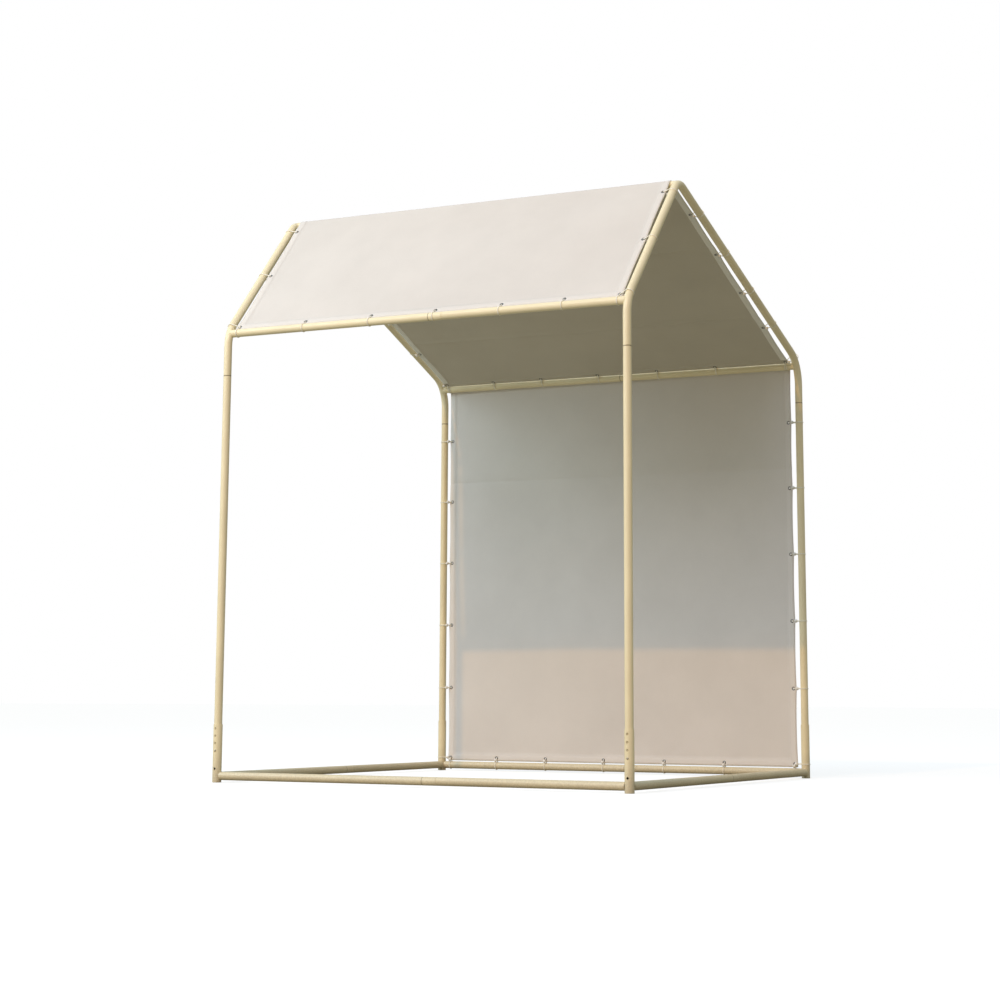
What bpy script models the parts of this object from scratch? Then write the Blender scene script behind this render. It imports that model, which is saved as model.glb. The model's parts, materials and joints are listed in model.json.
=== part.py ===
"""Open-front garden shelter: a house-shaped frame of round steel tube with a laced roof and back wall.

Metres, +Z up. The origin is on the ground under the middle of the base rectangle, +Y is the
closed rear side and +X is the right side. Four legs stand in sleeves with a row of holes, and
a sprung button in each leg locks the whole upper frame at one of four heights.
"""

import math

import bmesh
import bpy
from mathutils import Vector

# Driving dimensions of the frame, between tube axes
FRAME_WIDTH = 1.565
FRAME_DEPTH = 1.582
BASE_AXIS_Z = 0.022
EAVE_RISE = 1.550
RIDGE_RISE = 2.032
RIDGE_FROM_FRONT = 0.424
EAVE_BEND_RADIUS = 0.130
RIDGE_BEND_RADIUS = 0.060

# Tube sections
TUBE_RADIUS = 0.014
TUBE_WALL = 0.001
SPIGOT_RADIUS = 0.0127
SPIGOT_LENGTH = 0.045
SLEEVE_RADIUS = 0.0158
SLEEVE_WALL = 0.0013
GAP = 0.0003
SADDLE_GAP = 0.0005
WELD_DEPTH = 0.0006

# Joints between tubes
CORNER_DROP = 0.155
SPLICE_OFFSET = 0.090
SWAGE_LENGTH = 0.050
SHOULDER = 0.0015

# Leg sleeves, their holes, and the sprung buttons
CAP_THICKNESS = 0.003
SLEEVE_TOP = 0.197
UPRIGHT_BOTTOM = 0.075
HOLE_RADIUS = 0.0042
HOLE_PITCH = 0.025
LOWEST_HOLE_Z = 0.108
HOLE_COUNT = 4
PEG_HOLE_Z = 0.047
BUTTON_RADIUS = 0.0037
BUTTON_TIP = 0.018
FLANGE_RADIUS = 0.0046
FLANGE_INNER = 0.0104
FLANGE_OUTER = 0.0114
SPRING_WIDTH = 0.010
SPRING_THICKNESS = 0.0008

# Fabric panels
FABRIC_THICKNESS = 0.002
ROOF_SIDE_GAP = 0.015
ROOF_FRONT_GAP = 0.001
ROOF_REAR_GAP = 0.009
ROOF_EDGE_LIFT = 0.004
WALL_SIDE_GAP = 0.017
WALL_BEHIND_RAIL = 0.001
WALL_TOP_RISE = 0.013
WALL_BOTTOM_GAP = 0.004

# Mesh density
TUBE_SIDES = 20
SMALL_SIDES = 12
EAVE_STEPS = {"front": 6, "rear": 10}
RIDGE_STEPS = 8

X_AXIS = Vector((1, 0, 0))
Y_AXIS = Vector((0, 1, 0))
Z_AXIS = Vector((0, 0, 1))

HALF_WIDTH = FRAME_WIDTH / 2
HALF_DEPTH = FRAME_DEPTH / 2
EAVE_Z = BASE_AXIS_Z + EAVE_RISE
SIDE_SIGN = {"left": -1, "right": 1}
END_SIGN = {"front": -1, "rear": 1}


def clear_scene():
    for old in list(bpy.data.objects):
        bpy.data.objects.remove(old)


def make_material(name, colour, roughness, metallic):
    made = bpy.data.materials.new(name)
    made.use_nodes = True
    shader = made.node_tree.nodes["Principled BSDF"]
    shader.inputs["Base Color"].default_value = (*colour, 1.0)
    shader.inputs["Roughness"].default_value = roughness
    shader.inputs["Metallic"].default_value = metallic
    made.diffuse_color = (*colour, 1.0)
    return made


def add_object(name, bm, material):
    """Turns a bmesh into a named, smooth-shaded object with outward faces."""
    bmesh.ops.recalc_face_normals(bm, faces=bm.faces)
    mesh = bpy.data.meshes.new(name)
    bm.to_mesh(mesh)
    bm.free()
    mesh.shade_smooth()
    mesh.set_sharp_from_angle(angle=math.radians(35))
    made = bpy.data.objects.new(name, mesh)
    bpy.context.scene.collection.objects.link(made)
    if material:
        mesh.materials.append(material)
    return made


def ring(bm, centre, tangent, radius, cut=None, sides=TUBE_SIDES):
    """One ring of vertices square to the tangent, each moved along it by its own cut."""
    side = Y_AXIS if abs(tangent.x) > 0.5 else X_AXIS
    up = tangent.cross(side)
    made = []
    for step in range(sides):
        angle = 2 * math.pi * (step + 0.5) / sides
        offset = radius * (math.cos(angle) * side + math.sin(angle) * up)
        shift = cut(offset) if cut else 0.0
        made.append(bm.verts.new(centre + offset + tangent * shift))
    return made


def join_rings(bm, first, second):
    count = len(first)
    for step in range(count):
        following = (step + 1) % count
        bm.faces.new((first[step], first[following], second[following], second[step]))


def pipe(name, stations, material, sides=TUBE_SIDES):
    """A hollow tube: its stations run out along the outer skin and back along the bore.

    A station is (centre, tangent, radius) or (centre, tangent, radius, cut).
    """
    bm = bmesh.new()
    rings = [ring(bm, *station, sides=sides) for station in stations]
    for first, second in zip(rings, rings[1:] + rings[:1]):
        join_rings(bm, first, second)
    return add_object(name, bm, material)


def turned(name, centre, axis, profile, material, sides=SMALL_SIDES):
    """A solid of revolution with flat ends, from (distance along the axis, radius) pairs."""
    bm = bmesh.new()
    rings = [ring(bm, centre + axis * along, axis, radius, sides=sides) for along, radius in profile]
    for first, second in zip(rings, rings[1:]):
        join_rings(bm, first, second)
    bm.faces.new(rings[0])
    bm.faces.new(rings[-1])
    return add_object(name, bm, material)


def combine(target, tool, operation):
    """Adds or subtracts a tool shape, which stays in the scene as a hidden guide."""
    tool.hide_render = True
    tool.hide_viewport = True
    tool.display_type = "WIRE"
    boolean = target.modifiers.new(operation.title(), "BOOLEAN")
    boolean.operation = operation
    boolean.solver = "EXACT"
    boolean.object = tool


def leg_saddle(radius, least):
    """The end cut of a level tube against an upright sleeve, no nearer its axis than least."""
    def cut(offset):
        across = math.hypot(offset.x, offset.y)
        return max(math.sqrt(radius**2 - across**2), least)
    return cut


def bend_saddle(tangent, outward, bend_radius, radius):
    """The end cut of a tube across the middle of a bend of the given tube radius."""
    def cut(offset):
        along = offset.dot(tangent)
        out = offset.dot(outward)
        across = math.hypot(bend_radius + out, along) - bend_radius
        return math.sqrt(radius**2 - across**2)
    return cut


def reversed_cut(cut):
    return lambda offset: -cut(offset)


class Bend:
    """A round bend at a corner between two straight runs in the gable plane."""

    def __init__(self, start, corner, end, radius, steps):
        self.start = start
        self.end = end
        self.radius = radius
        self.steps = steps
        self.enter = (corner - start).normalized()
        self.leave = (end - corner).normalized()
        self.turn = self.enter.angle(self.leave)
        self.reach = radius * math.tan(self.turn / 2)
        inward = (self.leave - self.enter).normalized()
        self.centre = corner + inward * (radius / math.cos(self.turn / 2))
        self.outward = -inward
        self.middle = self.centre + self.outward * radius
        self.middle_tangent = (self.enter + self.leave).normalized()
        self.arc_start = corner - self.enter * self.reach

    def arc(self, radius):
        """Stations round the arc, for one skin of the tube."""
        spoke = (self.arc_start - self.centre)
        stations = []
        for step in range(self.steps + 1):
            angle = self.turn * step / self.steps
            tangent = self.enter * math.cos(angle) + spoke.normalized() * -math.sin(angle)
            centre = self.centre + spoke * math.cos(angle) + self.enter * self.radius * math.sin(angle)
            stations.append((centre, tangent, radius))
        return stations

    def saddle(self, radius):
        return bend_saddle(self.middle_tangent, self.outward, self.radius, radius)


def plain_end(point, tangent):
    """Outer stations of a square-cut tube end."""
    return [(point, tangent, TUBE_RADIUS)]


def swaged_end(point, tangent, inward):
    """Outer stations of a reduced end that plugs into the next tube, from its tip inwards.

    The point is the next tube's end face, and inward points back along this tube.
    """
    tip = point - inward * SWAGE_LENGTH
    neck = point + inward * GAP
    shoulder = neck + inward * SHOULDER
    return [
        (tip, tangent, SPIGOT_RADIUS),
        (neck, tangent, SPIGOT_RADIUS),
        (shoulder, tangent, TUBE_RADIUS),
    ]


def with_bore(outer):
    """Closes outer stations into a tube by adding the bore, one wall further in."""
    bore = [(station[0], station[1], station[2] - TUBE_WALL, *station[3:]) for station in outer]
    return outer + bore[::-1]


def gable_bend(end_name, x):
    """The bend where an upright turns into its rafter, from the leg seam to mid rafter."""
    y = END_SIGN[end_name] * HALF_DEPTH
    corner = Vector((x, y, EAVE_Z))
    seam = Vector((x, y, EAVE_Z - CORNER_DROP))
    middle = (corner + ridge_corner(x)) / 2
    return Bend(seam, corner, middle, EAVE_BEND_RADIUS, EAVE_STEPS[end_name])


def ridge_corner(x):
    return Vector((x, RIDGE_FROM_FRONT - HALF_DEPTH, BASE_AXIS_Z + RIDGE_RISE))


def ridge_bend(x):
    """The bend over the ridge, between the seams at the middle of both rafters."""
    front = gable_bend("front", x).end
    rear = gable_bend("rear", x).end
    return Bend(front, ridge_corner(x), rear, RIDGE_BEND_RADIUS, RIDGE_STEPS)


def bend_spigot(name, bend, inward, material):
    """The stub welded inside a bend, which a cross rail slides over."""
    root = bend.saddle(TUBE_RADIUS - WELD_DEPTH)
    tip = bend.middle + inward * (TUBE_RADIUS + SPIGOT_LENGTH)
    bore = SPIGOT_RADIUS - TUBE_WALL
    stations = [
        (bend.middle, inward, SPIGOT_RADIUS, root),
        (tip, inward, SPIGOT_RADIUS),
        (tip, inward, bore),
        (bend.middle, inward, bore, root),
    ]
    return pipe(name + "_spigot", stations, material)


def build_eave_bend(end_name, side_name, material):
    name = f"eave_bend_{end_name}_{side_name}"
    side = SIDE_SIGN[side_name]
    bend = gable_bend(end_name, side * HALF_WIDTH)
    outer = plain_end(bend.start, bend.enter) + bend.arc(TUBE_RADIUS) + plain_end(bend.end, bend.leave)
    made = pipe(name, with_bore(outer), material)
    combine(made, bend_spigot(name, bend, -side * X_AXIS, material), "UNION")


def build_ridge_bend(side_name, material):
    name = f"ridge_bend_{side_name}"
    side = SIDE_SIGN[side_name]
    bend = ridge_bend(side * HALF_WIDTH)
    front = swaged_end(bend.start, bend.enter, bend.enter)
    rear = swaged_end(bend.end, bend.leave, -bend.leave)
    outer = front + bend.arc(TUBE_RADIUS) + rear[::-1]
    made = pipe(name, with_bore(outer), material)
    combine(made, bend_spigot(name, bend, -side * X_AXIS, material), "UNION")


def build_upright(end_name, side_name, material):
    """A leg tube from inside its sleeve to its swaged top in the eave bend."""
    bend = gable_bend(end_name, SIDE_SIGN[side_name] * HALF_WIDTH)
    foot = bend.start.copy()
    foot.z = UPRIGHT_BOTTOM
    outer = plain_end(foot, Z_AXIS) + swaged_end(bend.start, Z_AXIS, -Z_AXIS)[::-1]
    made = pipe(f"upright_{end_name}_{side_name}", with_bore(outer), material)
    outward = END_SIGN[end_name] * Y_AXIS
    combine(made, hole_cutter(foot, LOWEST_HOLE_Z, outward, TUBE_RADIUS), "DIFFERENCE")


def hole_cutter(leg, z, outward, radius):
    """A round cutter through the outward wall of a leg only."""
    centre = Vector((leg.x, leg.y, z))
    profile = [(radius / 2, HOLE_RADIUS), (radius * 2, HOLE_RADIUS)]
    return turned("hole_guide", centre, outward, profile, None)


def build_sleeve(end_name, side_name, material):
    """A leg sleeve with two welded rail spigots, its row of height holes and a peg hole."""
    name = f"leg_sleeve_{end_name}_{side_name}"
    x = SIDE_SIGN[side_name] * HALF_WIDTH
    y = END_SIGN[end_name] * HALF_DEPTH
    bottom = Vector((x, y, CAP_THICKNESS + GAP))
    top = Vector((x, y, SLEEVE_TOP))
    bore = SLEEVE_RADIUS - SLEEVE_WALL
    stations = [
        (bottom, Z_AXIS, SLEEVE_RADIUS),
        (top, Z_AXIS, SLEEVE_RADIUS),
        (top, Z_AXIS, bore),
        (bottom, Z_AXIS, bore),
    ]
    made = pipe(name, stations, material)
    for inward in (-SIDE_SIGN[side_name] * X_AXIS, -END_SIGN[end_name] * Y_AXIS):
        axis_point = Vector((x, y, BASE_AXIS_Z))
        root = leg_saddle(SLEEVE_RADIUS - WELD_DEPTH, SPIGOT_RADIUS + GAP)
        tip = axis_point + inward * (SLEEVE_RADIUS + SPIGOT_LENGTH)
        spigot_bore = SPIGOT_RADIUS - TUBE_WALL
        spigot = [
            (axis_point, inward, SPIGOT_RADIUS, root),
            (tip, inward, SPIGOT_RADIUS),
            (tip, inward, spigot_bore),
            (axis_point, inward, spigot_bore, root),
        ]
        combine(made, pipe(name + "_spigot", spigot, material), "UNION")
    outward = END_SIGN[end_name] * Y_AXIS
    heights = [PEG_HOLE_Z] + [LOWEST_HOLE_Z + HOLE_PITCH * step for step in range(HOLE_COUNT)]
    for z in heights:
        combine(made, hole_cutter(bottom, z, outward, SLEEVE_RADIUS), "DIFFERENCE")


def build_foot_cap(end_name, side_name, material):
    """A plastic end cap: a disc under the sleeve with a hollow plug up its bore."""
    plug = SLEEVE_RADIUS - SLEEVE_WALL - GAP
    profile = [
        (0.0, SLEEVE_RADIUS - 0.0008),
        (0.0008, SLEEVE_RADIUS),
        (CAP_THICKNESS, SLEEVE_RADIUS),
        (CAP_THICKNESS, plug),
        (0.016, plug),
        (0.016, plug - 0.002),
        (0.005, plug - 0.002),
    ]
    centre = Vector((SIDE_SIGN[side_name] * HALF_WIDTH, END_SIGN[end_name] * HALF_DEPTH, 0))
    turned(f"foot_cap_{end_name}_{side_name}", centre, Z_AXIS, profile, material, TUBE_SIDES)


def build_rail(name, halves, start, end, start_cut, end_cut, material):
    """A two-piece rail: a plain tube, and a tube whose reduced end plugs into it."""
    along = (end - start).normalized()
    seam = (start + end) / 2 + along * SPLICE_OFFSET
    first = [(start, along, TUBE_RADIUS, start_cut)] + plain_end(seam, along)
    second = swaged_end(seam, along, along) + [(end, along, TUBE_RADIUS, reversed_cut(end_cut))]
    pipe(f"{name}_{halves[0]}_half", with_bore(first), material)
    pipe(f"{name}_{halves[1]}_half", with_bore(second), material)


def build_base_rails(material):
    cut = leg_saddle(SLEEVE_RADIUS + GAP, TUBE_RADIUS + GAP)
    for end_name, sign in END_SIGN.items():
        start = Vector((-HALF_WIDTH, sign * HALF_DEPTH, BASE_AXIS_Z))
        end = Vector((HALF_WIDTH, sign * HALF_DEPTH, BASE_AXIS_Z))
        build_rail(f"base_rail_{end_name}", ("left", "right"), start, end, cut, cut, material)
    for side_name, sign in SIDE_SIGN.items():
        start = Vector((sign * HALF_WIDTH, -HALF_DEPTH, BASE_AXIS_Z))
        end = Vector((sign * HALF_WIDTH, HALF_DEPTH, BASE_AXIS_Z))
        build_rail(f"base_rail_{side_name}", ("front", "rear"), start, end, cut, cut, material)


def build_top_rails(material):
    """The front and rear eave rails and the ridge tube, each between the two gable bends."""
    places = {
        "eave_rail_front": lambda x: gable_bend("front", x),
        "eave_rail_rear": lambda x: gable_bend("rear", x),
        "ridge_tube": ridge_bend,
    }
    for name, bend_at in places.items():
        left = bend_at(-HALF_WIDTH)
        right = bend_at(HALF_WIDTH)
        cut = left.saddle(TUBE_RADIUS + SADDLE_GAP)
        build_rail(name, ("left", "right"), left.middle, right.middle, cut, cut, material)


def build_button(end_name, side_name, material):
    """A round button with a flange inside the leg and a domed tip outside the sleeve."""
    outward = END_SIGN[end_name] * Y_AXIS
    x = SIDE_SIGN[side_name] * HALF_WIDTH
    y = END_SIGN[end_name] * HALF_DEPTH
    holder = bpy.data.objects.new(f"button_axis_{end_name}_{side_name}", None)
    holder.location = (x, y, LOWEST_HOLE_Z)
    bpy.context.scene.collection.objects.link(holder)
    profile = [
        (FLANGE_INNER, FLANGE_RADIUS),
        (FLANGE_OUTER, FLANGE_RADIUS),
        (FLANGE_OUTER, BUTTON_RADIUS),
        (BUTTON_TIP - 0.0016, BUTTON_RADIUS),
        (BUTTON_TIP - 0.0006, BUTTON_RADIUS * 0.8),
        (BUTTON_TIP, BUTTON_RADIUS * 0.4),
    ]
    name = f"snap_button_{end_name}_{side_name}"
    made = turned(name, Vector((0, 0, 0)), outward, profile, material)
    made.parent = holder


def build_button_spring(end_name, side_name, material):
    """A hairpin leaf spring inside the leg, one arm behind the button, one on the far wall."""
    outward = END_SIGN[end_name]
    x = SIDE_SIGN[side_name] * HALF_WIDTH
    y = END_SIGN[end_name] * HALF_DEPTH
    front_arm = FLANGE_INNER - GAP - SPRING_THICKNESS / 2
    back_arm = -0.0110
    line = [
        (front_arm, LOWEST_HOLE_Z - 0.010),
        (front_arm, LOWEST_HOLE_Z + 0.012),
        (-0.0050, LOWEST_HOLE_Z + 0.052),
        (-0.0075, LOWEST_HOLE_Z + 0.055),
        (-0.0100, LOWEST_HOLE_Z + 0.052),
        (back_arm, LOWEST_HOLE_Z + 0.040),
        (back_arm, LOWEST_HOLE_Z - 0.010),
    ]
    points = [Vector((0, y + outward * out, z)) for out, z in line]
    bm = bmesh.new()
    loops = []
    for index, point in enumerate(points):
        before = points[max(index - 1, 0)]
        after = points[min(index + 1, len(points) - 1)]
        normal = X_AXIS.cross((after - before).normalized()) * SPRING_THICKNESS / 2
        corners = []
        for across, depth in ((-1, -1), (1, -1), (1, 1), (-1, 1)):
            place = point + X_AXIS * (x + across * SPRING_WIDTH / 2) + normal * depth
            corners.append(bm.verts.new(place))
        loops.append(corners)
    for first, second in zip(loops, loops[1:]):
        join_rings(bm, first, second)
    bm.faces.new(loops[0])
    bm.faces.new(loops[-1])
    add_object(f"button_spring_{end_name}_{side_name}", bm, material)


def slab(name, section, half_width, material):
    """A thin panel: a closed outline in the YZ plane, extruded across the frame."""
    bm = bmesh.new()
    outline = [bm.verts.new((-half_width, point.y, point.z)) for point in section]
    face = bm.faces.new(outline)
    moved = bmesh.ops.extrude_face_region(bm, geom=[face])["geom"]
    verts = [part for part in moved if isinstance(part, bmesh.types.BMVert)]
    bmesh.ops.translate(bm, verts=verts, vec=(2 * half_width, 0, 0))
    add_object(name, bm, material)


def build_roof(material):
    """One fabric roof, tight over the ridge tube and down to just short of both eave rails."""
    front = gable_bend("front", 0)
    rear = gable_bend("rear", 0)
    ridge = ridge_bend(0).middle
    front_up = front.leave
    rear_up = rear.leave
    front_normal = X_AXIS.cross(front_up)
    rear_normal = -X_AXIS.cross(rear_up)
    front_edge = front.middle + front_up * (TUBE_RADIUS + ROOF_FRONT_GAP) + front_normal * ROOF_EDGE_LIFT
    rear_edge = rear.middle + rear_up * (TUBE_RADIUS + ROOF_REAR_GAP) + rear_normal * ROOF_EDGE_LIFT
    turn = front_normal.angle(rear_normal)
    under = [front_edge]
    over = [front_edge + front_normal * FABRIC_THICKNESS]
    for step in range(5):
        normal = front_normal.slerp(rear_normal, step / 4) if turn else front_normal
        under.append(ridge + normal * (TUBE_RADIUS + GAP * 2))
        over.append(ridge + normal * (TUBE_RADIUS + GAP * 2 + FABRIC_THICKNESS))
    under.append(rear_edge)
    over.append(rear_edge + rear_normal * FABRIC_THICKNESS)
    slab("roof_canopy", under + over[::-1], HALF_WIDTH - TUBE_RADIUS - ROOF_SIDE_GAP, material)


def build_wall(material):
    """The fabric back wall, from just over the rear base rail to behind the rear eave rail."""
    rail = gable_bend("rear", 0).middle
    depth = Y_AXIS * FABRIC_THICKNESS / 2
    low = Vector((0, HALF_DEPTH, BASE_AXIS_Z + TUBE_RADIUS + WALL_BOTTOM_GAP))
    high = rail + Y_AXIS * (TUBE_RADIUS + WALL_BEHIND_RAIL) + depth + Z_AXIS * WALL_TOP_RISE
    section = [low - depth, low + depth, high + depth, high - depth]
    slab("back_wall", section, HALF_WIDTH - TUBE_RADIUS - WALL_SIDE_GAP, material)


def main():
    clear_scene()
    tube = make_material("cream_powder_coat", (0.76, 0.69, 0.45), 0.42, 0.0)
    cap = make_material("cream_plastic", (0.74, 0.69, 0.50), 0.55, 0.0)
    steel = make_material("zinc_steel", (0.62, 0.62, 0.60), 0.35, 1.0)
    fabric = make_material("off_white_fabric", (0.80, 0.77, 0.71), 0.90, 0.0)
    for end_name in END_SIGN:
        for side_name in SIDE_SIGN:
            build_sleeve(end_name, side_name, tube)
            build_foot_cap(end_name, side_name, cap)
            build_upright(end_name, side_name, tube)
            build_button(end_name, side_name, steel)
            build_button_spring(end_name, side_name, steel)
            build_eave_bend(end_name, side_name, tube)
    for side_name in SIDE_SIGN:
        build_ridge_bend(side_name, tube)
    build_base_rails(tube)
    build_top_rails(tube)
    build_roof(fabric)
    build_wall(fabric)


main()
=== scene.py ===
"""The looks of an open tube-frame shelter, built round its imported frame.

The frame's tubes keep their CAD solids and get a powder coat. The roof and the back wall are
sheets of coated cloth with hems, seams, eyelets and fold creases, laced to the tubes by elastic
ties. Metres, +Z up, +Y towards the back wall.
"""

import json
import math

import bmesh
import bpy
import numpy as np
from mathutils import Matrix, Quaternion, Vector

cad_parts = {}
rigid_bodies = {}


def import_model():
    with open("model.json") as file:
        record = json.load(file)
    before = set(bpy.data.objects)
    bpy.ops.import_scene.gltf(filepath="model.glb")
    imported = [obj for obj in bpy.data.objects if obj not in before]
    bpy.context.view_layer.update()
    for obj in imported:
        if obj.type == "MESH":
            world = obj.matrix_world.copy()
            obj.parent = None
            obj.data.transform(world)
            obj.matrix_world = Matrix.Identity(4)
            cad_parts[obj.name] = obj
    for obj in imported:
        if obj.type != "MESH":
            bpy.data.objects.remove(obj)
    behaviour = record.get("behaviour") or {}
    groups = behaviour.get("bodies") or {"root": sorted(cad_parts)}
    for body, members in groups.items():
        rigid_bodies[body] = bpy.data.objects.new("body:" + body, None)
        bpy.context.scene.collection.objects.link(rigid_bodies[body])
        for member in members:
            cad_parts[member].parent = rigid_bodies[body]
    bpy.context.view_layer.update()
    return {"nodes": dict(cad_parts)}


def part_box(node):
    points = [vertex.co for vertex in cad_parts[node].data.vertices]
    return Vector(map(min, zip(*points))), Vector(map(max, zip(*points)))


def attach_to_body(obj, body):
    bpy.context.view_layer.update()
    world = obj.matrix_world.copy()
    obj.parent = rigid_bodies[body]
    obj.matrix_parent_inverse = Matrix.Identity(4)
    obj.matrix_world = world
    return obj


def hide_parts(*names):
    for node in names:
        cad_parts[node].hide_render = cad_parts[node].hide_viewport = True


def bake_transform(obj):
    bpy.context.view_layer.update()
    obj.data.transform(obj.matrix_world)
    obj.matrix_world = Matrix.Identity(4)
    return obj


for leftover in list(bpy.data.objects):
    bpy.data.objects.remove(leftover)
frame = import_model()

# The frame's driving sizes
TUBE_RADIUS = 0.014
SLEEVE_RADIUS = 0.0158
EAVE_Z = 1.572
RIDGE_Z = 2.054
RIDGE_FROM_FRONT = 0.424

# Cloth
HEM_WIDTH = 0.025
HEM_THICKNESS = 0.0020
CLOTH_THICKNESS = 0.0007
CLOTH_STEP = 0.012
EDGE_SCALLOP = 0.0025
EDGE_LIFT = 0.0045
ROOF_FRONT_GAP = 0.001
ROOF_REAR_GAP = 0.003
ROOF_SIDE_EXTRA = 0.006
WALL_SIDE_EXTRA = 0.001
WALL_BEHIND_RAIL = 0.002
RIDGE_CLEARANCE = 0.0014
CREASE_HEIGHT = 0.0018
CREASE_WIDTH = 0.007
TENSION_HEIGHT = 0.0007
EYELET_INSET = 0.012
SEAM_INSET = 0.0235
STITCH_LENGTH = 0.0034
STITCH_PITCH = 0.0052

CREAM = (0.88, 0.77, 0.50)

# Eyelets, ties and springs
EYELET_HOLE = 0.0027
EYELET_RADIUS = 0.0070
CORD_RADIUS = 0.0010
BALL_RADIUS = 0.0065
SLEEVE_TIE_REACH = 0.0085
SPRING_THICKNESS = 0.0008

X_AXIS = Vector((1, 0, 0))
Z_AXIS = Vector((0, 0, 1))


# ---------------------------------------------------------------- places read from the frame

def box_centre(node):
    low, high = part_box(node)
    return (low + high) / 2


LEG_X = box_centre("upright_front_right").x
LEG_Y = box_centre("upright_rear_right").y
FRONT_RAIL = box_centre("eave_rail_front_left_half")
REAR_RAIL = box_centre("eave_rail_rear_left_half")
RIDGE_TUBE = box_centre("ridge_tube_left_half")
BASE_RAIL = box_centre("base_rail_rear_left_half")
RAIL_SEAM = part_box("base_rail_rear_right_half")[0].x
LEG_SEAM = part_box("eave_bend_rear_right")[0].z
ROOF_HALF_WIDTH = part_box("roof_canopy")[1].x
WALL_HALF_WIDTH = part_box("back_wall")[1].x
WALL_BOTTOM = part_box("back_wall")[0].z
WALL_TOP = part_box("back_wall")[1].z
FRONT_CORNER = Vector((0, -LEG_Y, EAVE_Z))
REAR_CORNER = Vector((0, LEG_Y, EAVE_Z))
RIDGE_CORNER = Vector((0, RIDGE_FROM_FRONT - LEG_Y, RIDGE_Z))


# ---------------------------------------------------------------- meshes

def new_object(name, bm, *materials, smooth=True):
    mesh = bpy.data.meshes.new(name)
    bm.to_mesh(mesh)
    bm.free()
    if smooth:
        mesh.shade_smooth()
    made = bpy.data.objects.new(name, mesh)
    bpy.context.scene.collection.objects.link(made)
    for material in materials:
        mesh.materials.append(material)
    return made


def sweep(bm, points, binormal, radius, sides=7):
    """A closed round cord along a flat loop of points, square to the binormal."""
    rings = []
    count = len(points)
    for index, point in enumerate(points):
        tangent = (points[(index + 1) % count] - points[index - 1]).normalized()
        normal = binormal.cross(tangent).normalized()
        ring = []
        for step in range(sides):
            angle = 2 * math.pi * step / sides
            spoke = math.cos(angle) * normal + math.sin(angle) * binormal
            ring.append(bm.verts.new(point + radius * spoke))
        rings.append(ring)
    for first, second in zip(rings, rings[1:] + rings[:1]):
        for step in range(sides):
            after = (step + 1) % sides
            bm.faces.new((first[step], second[step], second[after], first[after]))


def turn_profile(bm, centre, axis, profile, sides=20, closed=True):
    """Turns (height, radius) pairs round an axis; a closed profile makes a ring."""
    side = axis.orthogonal().normalized()
    other = axis.cross(side).normalized()
    rings = []
    for height, radius in profile:
        ring = []
        for step in range(sides):
            angle = 2 * math.pi * step / sides
            spoke = math.cos(angle) * side + math.sin(angle) * other
            ring.append(bm.verts.new(centre + axis * height + spoke * radius))
        rings.append(ring)
    pairs = list(zip(rings, rings[1:]))
    if closed:
        pairs.append((rings[-1], rings[0]))
    for first, second in pairs:
        for step in range(sides):
            after = (step + 1) % sides
            bm.faces.new((first[step], first[after], second[after], second[step]))
    if not closed:
        bm.faces.new(rings[0][::-1])
        bm.faces.new(rings[-1])


# ---------------------------------------------------------------- sheets of cloth

def grid_lines(length, fixed, step):
    """Sorted positions from 0 to length: the fixed ones, with even steps between them."""
    marks = sorted({0.0, length, *[round(mark, 6) for mark in fixed if 0 < mark < length]})
    lines = [marks[0]]
    for low, high in zip(marks, marks[1:]):
        parts = max(1, math.ceil((high - low) / step))
        lines.extend(low + (high - low) * part / parts for part in range(1, parts + 1))
    return np.array(lines)


def bump(distance, width):
    return np.exp(-((distance / width) ** 2))


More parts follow.
